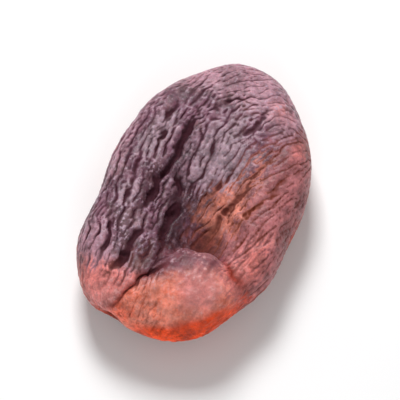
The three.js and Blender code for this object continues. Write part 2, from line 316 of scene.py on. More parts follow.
class SkinColours(bpy.types.PropertyGroup):
    """Colours of the dried flesh."""

    plum: a_colour("Plum", "Darkened skin of the upper face", (0.140, 0.052, 0.082))
    olive: a_colour("Olive", "Greyer patches within the plum", (0.135, 0.078, 0.074))
    # Painted shade: the plum darkened in the long valley
    deep: a_colour("Deep plum", "Plum skin in the long valley", (0.070, 0.027, 0.038))
    umber: a_colour("Umber", "Darker patches by the dimple and the crease", (0.17, 0.045, 0.036))
    ash: a_colour("Ash", "Greyish patches round the middle", (0.28, 0.180, 0.215))
    brown: a_colour("Brown", "Skin beside the dimple", (0.60, 0.200, 0.145))
    mauve: a_colour("Mauve", "Skin of the dimple's side", (0.34, 0.118, 0.125))
    # Pale lavender skin, also painted as highlights along the rims
    pale_and_rim_highlight: a_colour(
        "Pale", "Pale, lavender skin of the tip and the left rim", (0.33, 0.170, 0.210))
    fold: a_colour("Fold", "Top of the lip, beside the dimple", (0.20, 0.067, 0.086))
    salmon: a_colour("Salmon", "Skin of the lip", (0.72, 0.225, 0.160))
    amber: a_colour("Amber", "Deeper mottles in the lip's skin", (0.60, 0.120, 0.060))
    coral: a_colour("Coral", "Skin round the stem end and beside the lip", (0.56, 0.165, 0.150))
    # Pink of the lip, also painted as light on the lip and as highlights on the rim
    blush_and_highlight: a_colour("Blush", "Pink middle of the lip and spots on the rim", (0.62, 0.215, 0.200))
    orange: a_colour("Orange", "Flesh below the lip", (0.82, 0.070, 0.008))
    rust: a_colour("Rust", "Skin of the sides", (0.44, 0.045, 0.014))
    russet: a_colour(
        "Russet", "Deep red of the underside, the seam and patches of the sides", (0.30, 0.022, 0.006))
    # Painted shade at the bottom of the dimple
    dimple_shade: a_colour("Pit", "Bottom of the dimple", (0.09, 0.012, 0.005))
    # Painted shade in the furrows, in the plum skin's valleys and beside the crease
    furrow: a_colour(
        "Furrow", "Bottom of the furrows and of the plum skin's wrinkles", (0.040, 0.006, 0.013))
    # Painted shade in the valleys outside the plum skin
    slit: a_colour("Slit", "Bottom of the wrinkles outside the plum skin", (0.13, 0.020, 0.008))
    # Painted highlights: pink specks on the crests outside the plum skin
    glint: a_colour(
        "Glint", "Pink specks on the crests outside the plum skin", (0.72, 0.36, 0.34))
    # Bloom, and painted highlights, on the plum skin's crests
    bloom_and_glints: a_colour("Bloom", "Dull bloom on the plum skin's crests", (0.50, 0.34, 0.42))


class Studio(bpy.types.PropertyGroup):
    """Camera and light."""

    azimuth: FloatProperty(
        name="Azimuth", description="Where the camera stands round the fruit", subtype="ANGLE",
        default=math.radians(-64))
    elevation: FloatProperty(
        name="Elevation", description="How steeply the camera looks down", subtype="ANGLE",
        default=math.radians(68))
    distance: a_length("Distance", "From the camera to the fruit", 378, 100, 5000)
    frame_width: a_length(
        "Frame width", "Width that the picture takes in at the fruit", 56, 20, 1000)
    key_power: a_strength("Key light", "Power of the large soft light in watts", 1.75, 100)
    fill_power: a_strength("Fill light", "Power of the fill light in watts", 0.9, 100)
    surround: a_strength("Surround", "Brightness of the white surround", 0.31, 5)


def smooth(none, full, value):
    """A smooth step: 0 at none, 1 at full, 3t squared minus 2t cubed between them."""
    share = np.clip((value - none) / (full - none), 0, 1)
    return share * share * (3 - 2 * share)


def bell(value):
    """The bell curve e to the minus value squared."""
    return np.exp(-value * value)


def outline_radius(form, angle):
    """Mean radius plus one cosine for each set of lobes."""
    radius = np.full_like(angle, form.mean_radius)
    for lobes, amplitude, phase in OUTLINE_WAVES:
        radius += amplitude * np.cos(lobes * angle - math.radians(phase))
    return radius


def hollow(place, x, y):
    """A bell of elliptical plan, as deep as its last value."""
    middle_x, middle_y, along_x, along_y, depth = place
    return depth * bell(np.hypot((x - middle_x) / along_x, (y - middle_y) / along_y))


def patch(spot, x, y):
    """A hollow's bell for a spot whose lengths are in millimetres."""
    *place, share = spot
    return hollow([*(size * MM for size in place), share], x, y)


def furrow(line, x, y):
    """A bell across a straight line, swayed by two sines along it and tapered at its ends."""
    from_x, from_y, to_x, to_y, depth, half_width = line
    step_x, step_y = to_x - from_x, to_y - from_y
    length = math.hypot(step_x, step_y)
    along = ((x - from_x) * step_x + (y - from_y) * step_y) / length
    across = ((y - from_y) * step_x - (x - from_x) * step_y) / length
    for sway, pace in FURROW_WAVES:
        across = across + sway * np.sin(pace * (along + from_x) + from_y / MM)
    start = smooth(-FURROW_OVERRUN, FURROW_TAPER, along)
    end = smooth(-FURROW_OVERRUN, FURROW_TAPER, length - along)
    return depth * start * end * bell(across / half_width)


def on_lip(x, y):
    """1 on the lip, and 0 past its folded edge."""
    reach = np.hypot(x - LIP_X, y - LIP_Y)
    return 1 - smooth(LIP_RADIUS - LIP_EDGE_INSIDE, LIP_RADIUS + LIP_EDGE_OUTSIDE, reach)


def directions():
    """A grid of unit vectors, rings from the stem end to the tip and segments round each ring,
    with both angles eased by a sine so that more of them meet the upper face."""
    along = np.linspace(0, math.pi, RINGS + 1)[:, None]
    turn = np.linspace(0, 2 * math.pi, SEGMENTS, endpoint=False)[None, :]
    along = along + RING_SHIFT / 2 * np.sin(2 * along)
    turn = turn + SEGMENT_SHIFT / 2 * np.sin(2 * turn) + UPWARD_SHIFT * np.cos(turn)
    width = np.sin(along)
    x = -np.cos(along) * np.ones_like(turn)
    return np.stack([x, width * np.cos(turn), width * np.sin(turn)], axis=-1)


def pressed_disc(form, unit):
    """A unit sphere pressed flat: its equator becomes the outline, and its height is multiplied
    by a half-thickness, large at the rim and small in the middle, less the hollows. Returns the
    points, the direction in which each of them sinks, the outline's radius and the lip."""
    nx, ny, nz = np.moveaxis(unit, -1, 0)
    radius = outline_radius(form, np.arctan2(ny, nx))
    x, y = radius * nx, radius * ny
    inward = 1 - nx * nx - ny * ny
    flat = np.stack([x, y, np.zeros_like(x)], axis=-1)
    stray = LIP_WOBBLE * slow_noise(flat, LIP_WOBBLE_SIZE, LIP_WOBBLE_SEED)
    lip = on_lip(x + stray, y + stray)
    upper = form.top_rim - (form.top_rim - form.top_middle) * inward - hollow(VALLEY, x, y)
    upper += LIP_RISE * lip - hollow(DIMPLE, x, y) * (1 - lip)
    under = form.under_rim - (form.under_rim - form.under_middle) * inward
    under -= hollow(UNDER_DIMPLE, x, y)
    half = np.where(nz >= 0, upper, under)
    points = np.stack([x, y, form.rim_height + half * nz], axis=-1)
    inwards = -np.stack([nx / radius, ny / radius, nz / half], axis=-1)
    return points, inwards / np.linalg.norm(inwards, axis=-1, keepdims=True), radius, lip


def suture_depth(form, points, radius):
    """A groove along the rim, a bell about a line at constant height."""
    x, y, z = np.moveaxis(points, -1, 0)
    angle = np.degrees(np.arctan2(y, x))
    first, full, last, past = SUTURE_ANGLES
    along = smooth(first, full, angle) * smooth(past, last, angle)
    outer = smooth(*SUTURE_SHARES, np.hypot(x, y) / radius)
    across = (z - form.rim_height - SUTURE_HEIGHT) / SUTURE_HALF_WIDTH
    return SUTURE_DEPTH * along * outer * bell(across)


def stem_depth(form, points, radius):
    """A bell about the point of the rim where the stem was."""
    angle = math.radians(STEM_ANGLE)
    x, y, z = np.moveaxis(points, -1, 0)
    offset = np.stack([
        x - radius * math.cos(angle),
        y - radius * math.sin(angle),
        z - form.rim_height - STEM_HEIGHT,
    ])
    return STEM_DEPTH * bell(np.linalg.norm(offset, axis=0) / STEM_RADIUS)


def furrow_depth(x, y, nz, broken):
    """All furrows summed, times the share left by their breaks, with a ceiling drawn by tanh, on
    the upper face alone."""
    total = sum(furrow([*line, FURROW_HALF_WIDTH], x, y) for line in FURROWS)
    total = total * (1 - on_lip(x, y)) * broken
    limited = FURROWS_DEEPEST * np.tanh(total / FURROWS_DEEPEST)
    edges = furrow(CREASE, x, y) + furrow(SEAM, x, y)
    return limited * smooth(*FURROW_UPWARD, nz) + edges * smooth(*CREASE_UPWARD, nz)


def normals_of(points):
    """Outward unit normals of a grid that closes round its segments, from the cross product of
    its steps along the two parameters."""
    around = np.roll(points, -1, axis=1) - np.roll(points, 1, axis=1)
    along = np.gradient(points, axis=0)
    normal = np.cross(around, along)
    normal[0], normal[-1] = (-1, 0, 0), (1, 0, 0)
    return normal / np.maximum(np.linalg.norm(normal, axis=-1, keepdims=True), TINY)


def slow_noise(points, size, seed, waves=14):
    """A soft random field of about -1 to 1: a sum of cosines along random directions."""
    draw = np.random.default_rng(seed)
    heading = draw.normal(size=(waves, 3))
    heading /= np.linalg.norm(heading, axis=1, keepdims=True)
    pace = 2 * math.pi / (size * draw.uniform(*NOISE_PACES, waves))
    start = draw.uniform(0, 2 * math.pi, waves)
    phase = points @ (heading * pace[:, None]).T + start
    return np.cos(phase).sum(-1) * math.sqrt(2 / waves) / NOISE_REACH


def wrinkle_phase(points, normals, run, spacing, stretch, spread, seed):
    """Wrinkles that fork and end. Round each of many random points of the skin a bell-shaped
    patch of waves, running across the local direction of the wrinkles, is added up as a complex
    number; the angle of the sum is the wrinkles' phase, and its length says how sure it is."""
    draw = np.random.default_rng(seed)
    reach_area = math.pi * np.median(stretch) * (WAVES_IN_REACH * np.median(spacing)) ** 2
    cell = np.linalg.norm(
        np.cross(np.roll(points, -1, axis=1) - points, np.gradient(points, axis=0)), axis=-1)
    cell[0] = cell[-1] = 0
    count = int(PATCHES_OVERLAP * cell.sum() / reach_area)
    picks = draw.choice(cell.size, count, p=(cell / cell.sum()).ravel())
    starts = draw.uniform(0, 2 * math.pi, count)
    tilts = draw.normal(0, 1, count) * spread.ravel()[picks]
    ring_x = points[..., 0].mean(1)
    total = np.zeros(points.shape[:2], complex)
    for pick, start, tilt in zip(picks, starts, tilts):
        place = divmod(int(pick), points.shape[1])
        centre, normal, length = points[place], normals[place], spacing[place]
        along = run[place] - normal * (run[place] @ normal)
        along /= np.linalg.norm(along)
        across = np.cross(normal, along)
        along, across = (along * math.cos(tilt) + across * math.sin(tilt),
                         across * math.cos(tilt) - along * math.sin(tilt))
        across_reach = WAVES_IN_REACH * length
        along_reach = across_reach * stretch[place]
        window = PATCH_WINDOW * along_reach + PATCH_MARGIN
        first, last = np.searchsorted(ring_x, [centre[0] - window, centre[0] + window])
        offset = points[first:last] - centre
        sideways = offset @ across
        falloff = (sideways / across_reach) ** 2 + (offset @ along / along_reach) ** 2
        falloff += (offset @ normal / (2 * across_reach)) ** 2
        near = falloff < PATCH_CUTOFF
        wave = 2 * math.pi * sideways[near] / length + start
        total[first:last][near] += np.exp(1j * wave - falloff[near])
    return total


def valleys(total, width, slit, ridge=0.0):
    """0 on the crests and 1 in the valleys of wrinkles: a share of slits, bells of the phase as
    wide as width in radians, a share of sharp ridges between round valleys, as half the phase's
    sine gives, and for the rest the same upside down. All fade where the phase is unsure."""
    phase = np.angle(total)
    strength = np.abs(total)
    sure = smooth(0, SURE_STRENGTH, strength / np.median(strength))
    ridges = np.abs(np.sin(phase / 2))
    return sure * (
        slit * bell(phase / width) + ridge * ridges + (1 - slit - ridge) * (1 - ridges))


def warped(points, sway, size, seed):
    """The points, each pushed by three soft random fields, so that straight wrinkles waver."""
    pushes = [slow_noise(points, size, seed + axis) for axis in range(3)]
    return points + sway * np.stack(pushes, axis=-1)


def blurred(points, passes):
    """The grid averaged with its neighbours along both parameters, over and over."""
    for _ in range(passes):
        points = (np.roll(points, 1, axis=1) + 2 * points + np.roll(points, -1, axis=1)) / 4
        inner = (points[:-2] + 2 * points[1:-1] + points[2:]) / 4
        points = np.concatenate([points[:1], inner, points[-1:]])
    return points


def cavity(points, normals, passes):
    """How far a point lies below the blurred surface: positive in valleys, negative on crests."""
    return ((blurred(points, passes) - points) * normals).sum(-1)


def wrinkle_run(points):
    """Direction of the wrinkles: along X, turning to the right beside the dimple and, more and
    more, towards the tip."""
    x, y, z = np.moveaxis(points, -1, 0)
    turn = FAN_TURN * smooth(*FAN_Y, y) * smooth(*FAN_X, x)
    turn += TIP_TURN * smooth(*TIP_TURN_X, x) * smooth(*TIP_TURN_Y, y)
    turn *= smooth(*TURNED_HEIGHT, z)
    return np.stack([np.cos(turn), -np.sin(turn), np.zeros_like(x)], axis=-1)


def wrinkle_share(x, y, nz, lip_skin, in_pit):
    """The share of the wrinkles' full depth: less on calm spots, the rolled rim, the lip and the
    dimple's floor."""
    share = (1 - RIM_LOST * smooth(*RIM_UPWARD, np.abs(nz))) * (1 - LIP_LOST * lip_skin)
    for spot in CALM_SPOTS:
        share *= 1 - patch(spot, x, y) * smooth(*UPPER_FACE, nz)
    return share * (1 - PIT_WRINKLES_LOST * in_pit)


def patchy(points, patches, seed):
    """A soft random field about its mean, cut off at its lowest and highest share."""
    mean, swing, size, lowest, highest = patches
    return np.clip(mean + swing * slow_noise(points, size, seed), lowest, highest)


def furrow_breaks(disc, seed):
    """The share of the furrows that their breaks leave: a patchy field, less towards the tip and
    more even on the dimple's side."""
    x, y, _ = np.moveaxis(disc, -1, 0)
    left = patchy(disc, FURROW_PATCHES, seed)
    left *= 1 - FURROWS_LOST_AT_TIP * smooth(*BREAKS_TIP, x)
    return left + (FURROWS_LEFT_BY_DIMPLE - left) * smooth(*DIMPLE_SIDE, y)


def lip_lean(disc, lip):
    """How the folded edge leans over the dimple: outwards from the lip's middle, by 4 times lip
    times 1 minus lip, which is 1 where the lip is half there."""
    x, y, _ = np.moveaxis(disc, -1, 0)
    edge = 4 * lip * (1 - lip) * smooth(*FOLD_LEAN_X, x + FOLD_LEAN_SLANT * y)
    outward = np.stack([x - LIP_X, y - LIP_Y, np.zeros_like(x)], axis=-1)
    outward /= np.maximum(np.linalg.norm(outward, axis=-1, keepdims=True), TINY)
    return outward * edge[..., None]


def lip_finish(disc, nz, seed):
    """1 on the lip's smooth skin, and 0 past an edge that wanders."""
    strayed = warped(disc, *LIP_SKIN_SWAY, seed)
    reach = np.hypot(strayed[..., 0] - LIP_X, strayed[..., 1] - LIP_Y)
    return (1 - smooth(*LIP_SKIN_REACH, reach)) * smooth(*LIP_UPWARD, nz)


def fine_relief(body, normals, relief, seeds, areas):
    """How deep the skin sinks: wrinkles along their run, crinkles between them, and swells,
    pebbles and lumps, which are soft random fields with no direction."""
    finer, lip_skin, share = areas.finer, areas.lip_skin, areas.wrinkled
    run = wrinkle_run(body)
    wavering = warped(body, *COARSE_SWAY, seeds["coarse_sway"])
    wavering = warped(wavering, *FINE_SWAY, seeds["fine_sway"])
    wavering = body + (wavering - body) * (1 - FINER_SWAY_LOST * finer)[..., None]

    spacing = relief.wrinkle_spacing * (1 + FINER_SPACING * finer)
    stretch = WRINKLE_STRETCH + FINER_STRETCH * finer
    spread = WRINKLE_SPREAD + FINER_SPREAD * finer
    broad = wrinkle_phase(wavering, normals, run, spacing, stretch, spread, seeds["wrinkles"])
    slits = WRINKLE_SLITS + FINER_SLITS * finer
    broad = valleys(broad, WRINKLE_SLIT_WIDTH, slits, FINER_RIDGES * finer)
    patches = patchy(body, WRINKLE_PATCHES, seeds["wrinkle_patches"])
    patches += (EVEN_PATCH - patches) * finer * EVEN_PATCH_SHARE
    sunk = 1 - FURROW_WRINKLES_LOST * areas.furrows / FURROWS_DEEPEST
    sink = relief.wrinkle_depth * broad * patches * share * sunk * (1 + FINER_GAIN * finer)

    even = np.ones_like(finer)
    spacing = relief.crinkle_spacing * (1 + LIP_CRINKLE_SPACING * lip_skin)
    fine = wrinkle_phase(wavering, normals, run, spacing, CRINKLE_STRETCH * even,
                         CRINKLE_SPREAD * even, seeds["crinkles"])
    fine = valleys(fine, CRINKLE_SLIT_WIDTH, CRINKLE_SLITS)
    patches = patchy(body, CRINKLE_PATCHES, seeds["crinkle_patches"])
    share = CRINKLES_LEAST + CRINKLES_WITH_WRINKLES * share + LIP_CRINKLES * lip_skin
    sink += relief.crinkle_depth * fine * patches * share * (1 - PIT_CRINKLES_LOST * areas.in_pit)

    depth, size = SWELLS
    sink += depth * slow_noise(body, size, seeds["swells"])
    depth = PEBBLE_DEPTH - FINER_PEBBLES_LOST * finer + LIP_PEBBLES_GAINED * lip_skin
    pebbles = slow_noise(body, PEBBLE_SIZE, seeds["pebbles"], PEBBLE_WAVES)
    sink += depth * (1 - PIT_PEBBLES_LOST * areas.in_pit) * pebbles
    depth, size = LIP_LUMPS
    return sink + depth * lip_skin * slow_noise(body, size, seeds["lip_lumps"], LIP_LUMP_WAVES)


def shrunken_skin(form, relief, unit):
    """The skin: the pressed disc, sunk by the deep forms, then by the fine relief along its own
    normals. Returns the points, the plain disc and the masks that the finish reads."""
    seeds = {name: relief.seed + step for name, step in SEED_STEPS.items()}
    disc, inwards, radius, lip = pressed_disc(form, unit)
    x, y, z = np.moveaxis(disc, -1, 0)
    nz = unit[..., 2]
    lip = lip * smooth(*LIP_UPWARD, nz)
    furrows = furrow_depth(x, y, nz, furrow_breaks(disc, seeds["furrow_patches"]))
    suture = suture_depth(form, disc, radius)
    deep = furrows + suture + stem_depth(form, disc, radius)
    body = disc + inwards * deep[..., None] + relief.fold_overhang * lip_lean(disc, lip)

    lip_skin = lip_finish(disc, nz, seeds["lip_skin"])
    in_dimple = hollow(DIMPLE, x, y) / DIMPLE[4] * smooth(*UPPER_FACE, nz)
    in_pit = smooth(*PIT_FLOOR, in_dimple)
    areas = SimpleNamespace(
        furrows=furrows,
        lip_skin=lip_skin,
        in_pit=in_pit,
        finer=smooth(*DIMPLE_SIDE, y) * smooth(*UPPER_FACE, nz),
        wrinkled=wrinkle_share(x, y, nz, lip_skin, in_pit),
    )
    normals = normals_of(body)
    sink = fine_relief(body, normals, relief, seeds, areas)
    sink *= smooth(*END_WIDTH, np.hypot(unit[..., 1], nz)) * smooth(*FLAT_SPOT_HEIGHT, z)
    skin = body - normals * sink[..., None]
    skin[..., 2] = np.maximum(skin[..., 2], 0)

    skin_normals = normals_of(skin)
    disc_normals = normals_of(disc)
    # Masks for the finish, with the painted shade of the furrows and of the dimple's bottom
    masks = {
        "lip": lip_skin,
        "suture": suture / SUTURE_DEPTH,
        "furrow": furrows / FURROWS_DEEPEST * smooth(*FURROW_SHADE_Y, y),
        "dimple_shade": smooth(*PIT_SHADE, in_dimple * (1 - lip)),
    }
    for name, passes, full in CAVITIES:
        depth = cavity(skin, skin_normals, passes) - cavity(disc, disc_normals, passes)
        masks[name] = np.clip(0.5 + 0.5 * depth / full, 0, 1)
    return skin, disc, masks


def fitted(points):
    """The grid, moved and scaled by a hair so that its box is the CAD solid's box."""
    low, high = points.min((0, 1)), points.max((0, 1))
    share = (points - low) / (high - low)
    return CAD_LOW + share * (CAD_HIGH - CAD_LOW)


def left_rim_highlight(x, y, nz):
    """A painted highlight in the pale colour along the left rim, with a gap near its middle and weaker
    towards the tip.
    """
    line = smooth(*LEFT_RIM_UPWARD, nz - LEFT_RIM_WIDER * smooth(*LEFT_RIM_WIDER_X, x))
    line *= LEFT_RIM_SHARE * smooth(*LEFT_RIM_Y, y + LEFT_RIM_SLANT * x)
    line *= 1 - LEFT_RIM_GAP * bell((x - LEFT_RIM_GAP_X) / LEFT_RIM_GAP_REACH)
    return line * (1 - LEFT_RIM_TIP_LOST * smooth(*LEFT_RIM_TIP_X, x))


def peach(x, y, up):
    """The lip's own colour: a round area, cut off along the crease."""
    step_x, step_y = CREASE[2:4] - CREASE[:2]
    past_crease = (y - CREASE[1]) * step_x - (x - CREASE[0]) * step_y
    past_crease /= math.hypot(step_x, step_y)
    area = 1 - smooth(*PEACH_REACH, np.hypot(x - PEACH_X, PEACH_SQUASH * (y - PEACH_Y)))
    return area * smooth(*PEACH_CREASE, past_crease) * smooth(*PEACH_SLOPE, up)


def folded_edge(x, y):
    """The lip's top, on the side that faces the dimple."""
    from_x, from_y = x - LIP_X, y - LIP_Y
    edge = smooth(*FOLD_START, FOLD_TOWARDS[0] * from_x + FOLD_TOWARDS[1] * from_y)
    edge *= smooth(*FOLD_REACH, np.hypot(from_x, from_y))
    return FOLD_SHARE * edge * smooth(*FOLD_Y, y)


def colour_masks(disc, nz):
    """Where each colour of the skin lies, from 0 to 1, as bells round the middles of patches and
    smooth steps on the place and slope."""
    x, y = disc[..., 0], disc[..., 1]
    up = normals_of(disc)[..., 2]
    upper = smooth(*UPPER_SLOPE, up)
    masks = {
        name: sum(patch(spot, x, y) * upper for spot in spots) for name, spots in PATCHES.items()}
    side = y + PLUM_SHIFT + PLUM_SLANT * np.maximum(x, 0)
    plum = smooth(*PLUM_Y, side) * smooth(*PLUM_SLOPE, up)
    stem = smooth(*STEM_X, x + STEM_SLANT * np.minimum(y, 0)) * smooth(*STEM_SLOPE, up)
    tip = smooth(*TIP_X, x - TIP_SLANT * np.minimum(y, 0)) * smooth(*TIP_Y, y)
    seam = furrow(SEAM, x, y) / SEAM[4] + CREASE_RED * furrow(CREASE, x, y) / CREASE[4]
    facing = smooth(*ORANGE_X, x + ORANGE_SLANT * y) * smooth(*ORANGE_Y, y)
    orange = facing * smooth(*ORANGE_SLOPE, up - ORANGE_HIGHER * smooth(*ORANGE_HIGHER_Y, y))
    wander = sum(sway * slow_noise(disc, size, seed) for sway, size, seed in FLANK_WANDER)
    lower = FLANK_LOWER * smooth(*FLANK_LOWER_Y, y)
    masks["plum"] = plum * (1 - stem)
    masks["coral"] = np.clip(masks["coral"] + stem, 0, 1)
    masks["pale_and_rim_highlight"] += (tip + left_rim_highlight(x, y, nz)) * upper
    masks["peach"] = peach(x, y, up)
    masks["fold"] = folded_edge(x, y) * upper
    masks["seam"] = seam * upper
    masks["orange"] = np.maximum(masks["orange"], orange)
    masks["flank"] = smooth(*FLANK_SLOPE, up + wander + lower)
    masks["under"] = smooth(*UNDER_SLOPE, up)
    return {name: np.clip(mask, 0, 1) for name, mask in masks.items()}


def grid_faces(rings, segments):
    """Corner numbers of the quads between rings, and of the triangles at both ends."""
    ring = np.arange(rings - 2)[:, None] * segments + 1
    here = np.arange(segments)[None, :]
    beside = (here + 1) % segments
    next_ring = ring + segments
    quads = np.stack([ring + here, ring + beside, next_ring + beside, next_ring + here], -1)
    last = (rings - 1) * segments + 1
    first_ring, last_ring = 1, last - segments
    start = np.stack([np.zeros(segments, int), first_ring + beside[0], first_ring + here[0]], -1)
    end = np.stack([last_ring + here[0], last_ring + beside[0], np.full(segments, last)], -1)
    return quads.reshape(-1, 4), np.concatenate([start, end])


def skin_mesh(name, points, masks):
    """A closed mesh: one corner at the stem end, the rings, and one corner at the tip."""
    def corners(grid):
        rings = grid[1:-1].reshape(-1, *grid.shape[2:])
        return np.concatenate([grid[0, :1], rings, grid[-1, :1]])

    quads, triangles = grid_faces(points.shape[0] - 1, points.shape[1])
    mesh = bpy.data.meshes.new(name)
    mesh.from_pydata(corners(points).tolist(), [], quads.tolist() + triangles.tolist())
    mesh.validate()
    for mask_name, mask in masks.items():
        attribute = mesh.attributes.new(mask_name, "FLOAT", "POINT")
        attribute.data.foreach_set("value", corners(mask).astype(np.float32))
    mesh.shade_smooth()
    return mesh


def set_inputs(node, values):
    """Gives a node's inputs, by name or number, a value or a link from another node's socket."""
    for name, value in values.items():
        if isinstance(value, bpy.types.NodeSocket):
            node.id_data.links.new(value, node.inputs[name])
        else:
            node.inputs[name].default_value = value


def add_node(tree, kind, values, **settings):
    """A node of a kind, with its settings and its inputs."""
    node = tree.nodes.new(kind)
    for name, value in settings.items():
        setattr(node, name, value)
    set_inputs(node, values)
    return node


def arithmetic(tree, operation, first, second):
    """The result of a Math node."""
    node = add_node(tree, "ShaderNodeMath", {0: first, 1: second}, operation=operation)
    return node.outputs[0]


def mixed(tree, share, first, second, blend="MIX"):
    """Two colours mixed."""
    values = {0: share, 6: first, 7: second}
    node = add_node(tree, "ShaderNodeMix", values, data_type="RGBA", blend_type=blend)
    return node.outputs[2]


def remapped(tree, value, low, high, to_low=0.0, to_high=1.0):
    """A value taken from one range to another by a smooth step."""
    values = {0: value, 1: low, 2: high, 3: to_low, 4: to_high}
    node = add_node(tree, "ShaderNodeMapRange", values, interpolation_type="SMOOTHSTEP")
    return node.outputs[0]


def uneven_edge_group():
    """A shader node group that gives a soft mask an uneven, patchy edge."""
    group = bpy.data.node_groups.new("uneven_edge", "ShaderNodeTree")
    group.interface.new_socket("Vector", in_out="INPUT", socket_type="NodeSocketVector")
    for name in ("Mask", "Patch Scale", "Amount"):
        group.interface.new_socket(name, in_out="INPUT", socket_type="NodeSocketFloat")
    group.interface.new_socket("Mask", in_out="OUTPUT", socket_type="NodeSocketFloat")
    given = group.nodes.new("NodeGroupInput").outputs
    noise = add_node(group, "ShaderNodeTexNoise", {
        "Vector": given["Vector"], "Scale": given["Patch Scale"],
        "Detail": 5.0, "Roughness": 0.6})
    centred = arithmetic(group, "SUBTRACT", noise.outputs[0], 0.5)
    push = arithmetic(group, "MULTIPLY", centred, given["Amount"])
    edge = remapped(group, arithmetic(group, "ADD", given["Mask"], push), 0.1, 0.9)
    add_node(group, "NodeGroupOutput", {"Mask": edge})
    return group


def rgba(colour):
    """A colour with full alpha."""
    return (*colour, 1.0)


def new_material(name):
    """A material, with its tree, its shader and the Object coordinates."""
    material = bpy.data.materials.new(name)
    material.use_nodes = True
    tree = material.node_tree
    place = tree.nodes.new("ShaderNodeTexCoord").outputs["Object"]
    return material, tree, tree.nodes["Principled BSDF"], place


